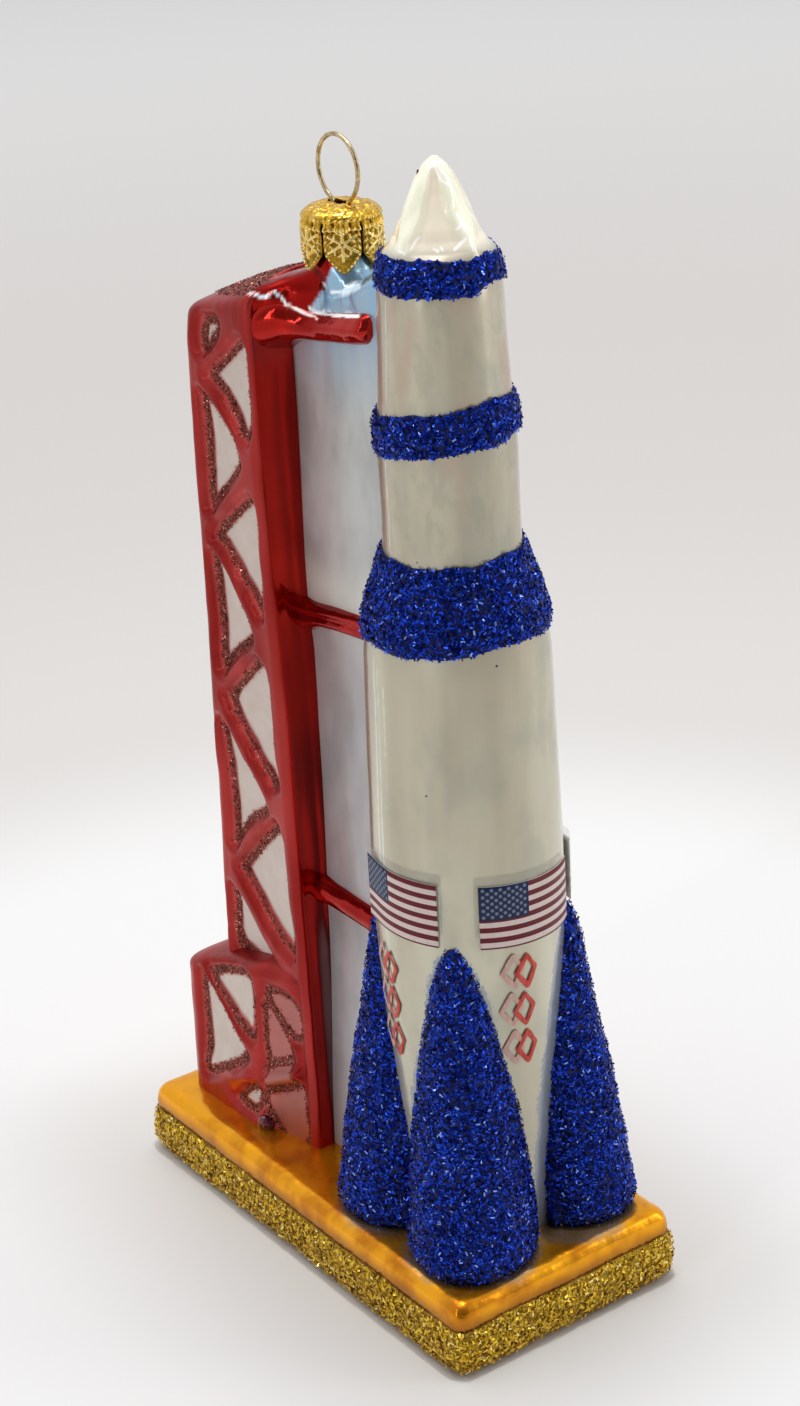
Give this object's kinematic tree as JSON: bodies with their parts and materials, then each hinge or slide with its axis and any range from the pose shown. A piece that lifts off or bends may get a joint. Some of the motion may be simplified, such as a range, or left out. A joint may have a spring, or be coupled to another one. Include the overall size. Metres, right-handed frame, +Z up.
{
  "type": "glass rocket ornament",
  "caption": "Blown-glass hanging ornament: a rocket with glitter bands and fins, joined by a wall to its lattice launch tower on a long base, with a metal cap and wire ring.",
  "frame": {"origin": "centre of the base's underside, on the table the ornament stands on", "axes": "+Z up; +Y from the rocket end to the tower end along the base; X across the base, the mould's parting plane is X = 0"},
  "size_m": [0.0456, 0.0922, 0.1861],
  "materials": {
    "gold_lacquer": "amber gold lacquer over silvered glass",
    "gold_glitter": "coarse gold glitter glued on",
    "pearl_lacquer": "pearl white lacquer",
    "clear_glass": "clear glass drop",
    "blue_glitter": "coarse blue glitter glued on",
    "sticker": "clear film with a striped print",
    "red_lacquer": "clear red lacquer over silvered glass",
    "red_glitter": "dark red glitter glued on",
    "white_paint": "matt white paint on glass",
    "silver_glass": "bare silvered glass with a thin pearl coat",
    "neck_glass": "silvered glass",
    "gilt_metal": "stamped thin sheet, gold coloured",
    "gilt_wire": "gold coloured spring wire"
  },
  "bodies": {
    "glass": {"base_block": "gold_lacquer", "base_glitter": "gold_glitter", "rocket_low": "pearl_lacquer", "rocket_mid": "pearl_lacquer", "rocket_high": "pearl_lacquer", "nose_cone": "pearl_lacquer", "nose_tip": "clear_glass", "band_low": "blue_glitter", "band_mid": "blue_glitter", "band_top": "blue_glitter", "fin_front_left": "blue_glitter", "fin_front_right": "blue_glitter", "fin_back_left": "blue_glitter", "fin_back_right": "blue_glitter", "sticker_front": "sticker", "sticker_left": "sticker", "sticker_right": "sticker", "tower_column": "red_lacquer", "tower_head": "red_lacquer", "tower_foot": "red_lacquer", "tower_lattice_left": "red_lacquer", "tower_lattice_right": "red_lacquer", "foot_lattice_left": "red_lacquer", "foot_lattice_right": "red_lacquer", "tower_ground_left": "white_paint", "tower_ground_right": "white_paint", "foot_ground_left": "white_paint", "foot_ground_right": "white_paint", "tower_roof": "red_glitter", "wall_low": "silver_glass", "wall_mid": "silver_glass", "wall_high": "silver_glass", "wall_top": "silver_glass", "arm_low": "red_lacquer", "arm_mid": "red_lacquer", "arm_high": "red_lacquer", "neck": "neck_glass"},
    "cap": {"cap": "gilt_metal"},
    "wire": {"wire_ring": "gilt_wire"}
  },
  "joints": [
    {"name": "cap_lift", "type": "slide", "parent": "glass", "child": "cap", "axis": [0, 0, 1], "range_m": [0, 0.012]},
    {"name": "wire_play", "type": "slide", "parent": "cap", "child": "wire", "axis": [0, 0, 1], "range_m": [0, 0.002]}
  ]
}
